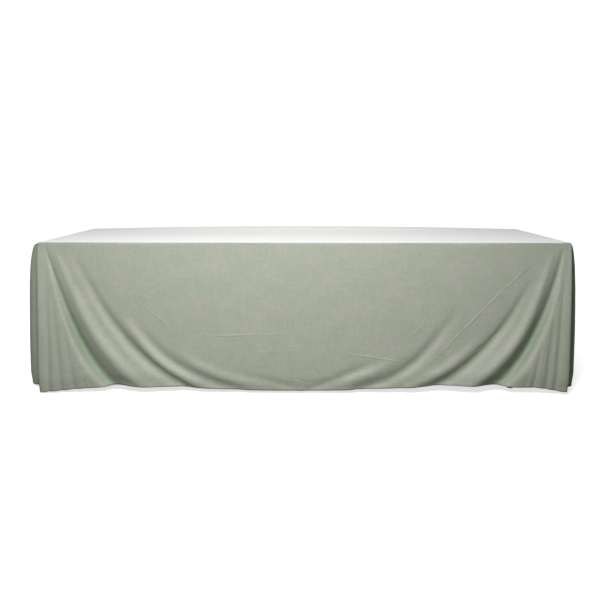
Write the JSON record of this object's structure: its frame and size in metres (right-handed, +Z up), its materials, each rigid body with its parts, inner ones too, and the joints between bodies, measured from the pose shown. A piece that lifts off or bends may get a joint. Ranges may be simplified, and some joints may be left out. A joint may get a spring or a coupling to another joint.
{
  "type": "tablecloth on a table",
  "caption": "Floor-length sage tablecloth draped over a long folding banquet table, its corners falling in fanned and fluted folds to a level hem.",
  "frame": {"origin": "on the floor, under the middle of the table", "axes": "+X along the table's length, to the right for someone facing the front; the front long side faces -Y; +Z up"},
  "size_m": [2.678, 0.844, 0.7258],
  "materials": {
    "sage_fabric": "soft satin woven polyester, pressed",
    "moulded_plastic": "fine pebble texture",
    "black_plastic": "moulded, matte",
    "grey_powder_coat": "satin powder coat",
    "zinc_plate": "zinc plated"
  },
  "bodies": {
    "covered_top": {"tablecloth_top": "sage_fabric", "tablecloth_drop": "sage_fabric", "hem_fold": "sage_fabric", "table_top": "moulded_plastic", "side_rail_front": "grey_powder_coat", "rail_plug_front_left": "black_plastic", "rail_plug_front_right": "black_plastic", "rail_screw_front_left": "zinc_plate", "rail_screw_front_middle": "zinc_plate", "rail_screw_front_right": "zinc_plate", "side_rail_back": "grey_powder_coat", "rail_plug_back_left": "black_plastic", "rail_plug_back_right": "black_plastic", "rail_screw_back_left": "zinc_plate", "rail_screw_back_middle": "zinc_plate", "rail_screw_back_right": "zinc_plate", "cross_rail_left": "grey_powder_coat", "brace_bracket_left": "grey_powder_coat", "bracket_rivet_left": "zinc_plate", "cross_rail_right": "grey_powder_coat", "brace_bracket_right": "grey_powder_coat", "bracket_rivet_right": "zinc_plate"},
    "leg_frame_left": {"pivot_tube_left": "grey_powder_coat", "leg_left_front": "grey_powder_coat", "leg_left_back": "grey_powder_coat", "foot_left_front": "black_plastic", "foot_left_back": "black_plastic", "pivot_retainer_left_front": "zinc_plate", "pivot_retainer_left_back": "zinc_plate", "brace_crossbar_left": "grey_powder_coat", "foot_crossbar_left": "grey_powder_coat", "brace_lug_left": "grey_powder_coat", "lug_rivet_left": "zinc_plate"},
    "upper_brace_left": {"upper_link_left": "grey_powder_coat", "elbow_pin_left": "zinc_plate"},
    "lower_brace_left": {"lower_link_left": "grey_powder_coat", "elbow_button_left": "zinc_plate"},
    "leg_frame_right": {"pivot_tube_right": "grey_powder_coat", "leg_right_front": "grey_powder_coat", "leg_right_back": "grey_powder_coat", "foot_right_front": "black_plastic", "foot_right_back": "black_plastic", "pivot_retainer_right_front": "zinc_plate", "pivot_retainer_right_back": "zinc_plate", "brace_crossbar_right": "grey_powder_coat", "foot_crossbar_right": "grey_powder_coat", "brace_lug_right": "grey_powder_coat", "lug_rivet_right": "zinc_plate"},
    "upper_brace_right": {"upper_link_right": "grey_powder_coat", "elbow_pin_right": "zinc_plate"},
    "lower_brace_right": {"lower_link_right": "grey_powder_coat", "elbow_button_right": "zinc_plate"}
  },
  "joints": [
    {"name": "leg_fold_left", "type": "hinge", "parent": "covered_top", "child": "leg_frame_left", "pos_m": [-1.02, 0, 0.6767], "axis": [0, -1, 0], "range_deg": [0, 90]},
    {"name": "upper_brace_fold_left", "type": "hinge", "parent": "covered_top", "child": "upper_brace_left", "pos_m": [-0.66, 0, 0.6767], "axis": [0, 1, 0], "range_deg": [0, 45]},
    {"name": "lower_brace_fold_left", "type": "hinge", "parent": "leg_frame_left", "child": "lower_brace_left", "pos_m": [-1.02, 0, 0.3167], "axis": [0, -1, 0], "range_deg": [0, 45]},
    {"name": "leg_fold_right", "type": "hinge", "parent": "covered_top", "child": "leg_frame_right", "pos_m": [1.02, 0, 0.6767], "axis": [0, 1, 0], "range_deg": [0, 90]},
    {"name": "upper_brace_fold_right", "type": "hinge", "parent": "covered_top", "child": "upper_brace_right", "pos_m": [0.66, 0, 0.6767], "axis": [0, -1, 0], "range_deg": [0, 45]},
    {"name": "lower_brace_fold_right", "type": "hinge", "parent": "leg_frame_right", "child": "lower_brace_right", "pos_m": [1.02, 0, 0.3167], "axis": [0, 1, 0], "range_deg": [0, 45]}
  ],
  "couplings": [
    {"joint": "upper_brace_fold_left", "follows": "leg_fold_left", "ratio": 0.5},
    {"joint": "lower_brace_fold_left", "follows": "leg_fold_left", "ratio": 0.5},
    {"joint": "upper_brace_fold_right", "follows": "leg_fold_right", "ratio": 0.5},
    {"joint": "lower_brace_fold_right", "follows": "leg_fold_right", "ratio": 0.5}
  ]
}
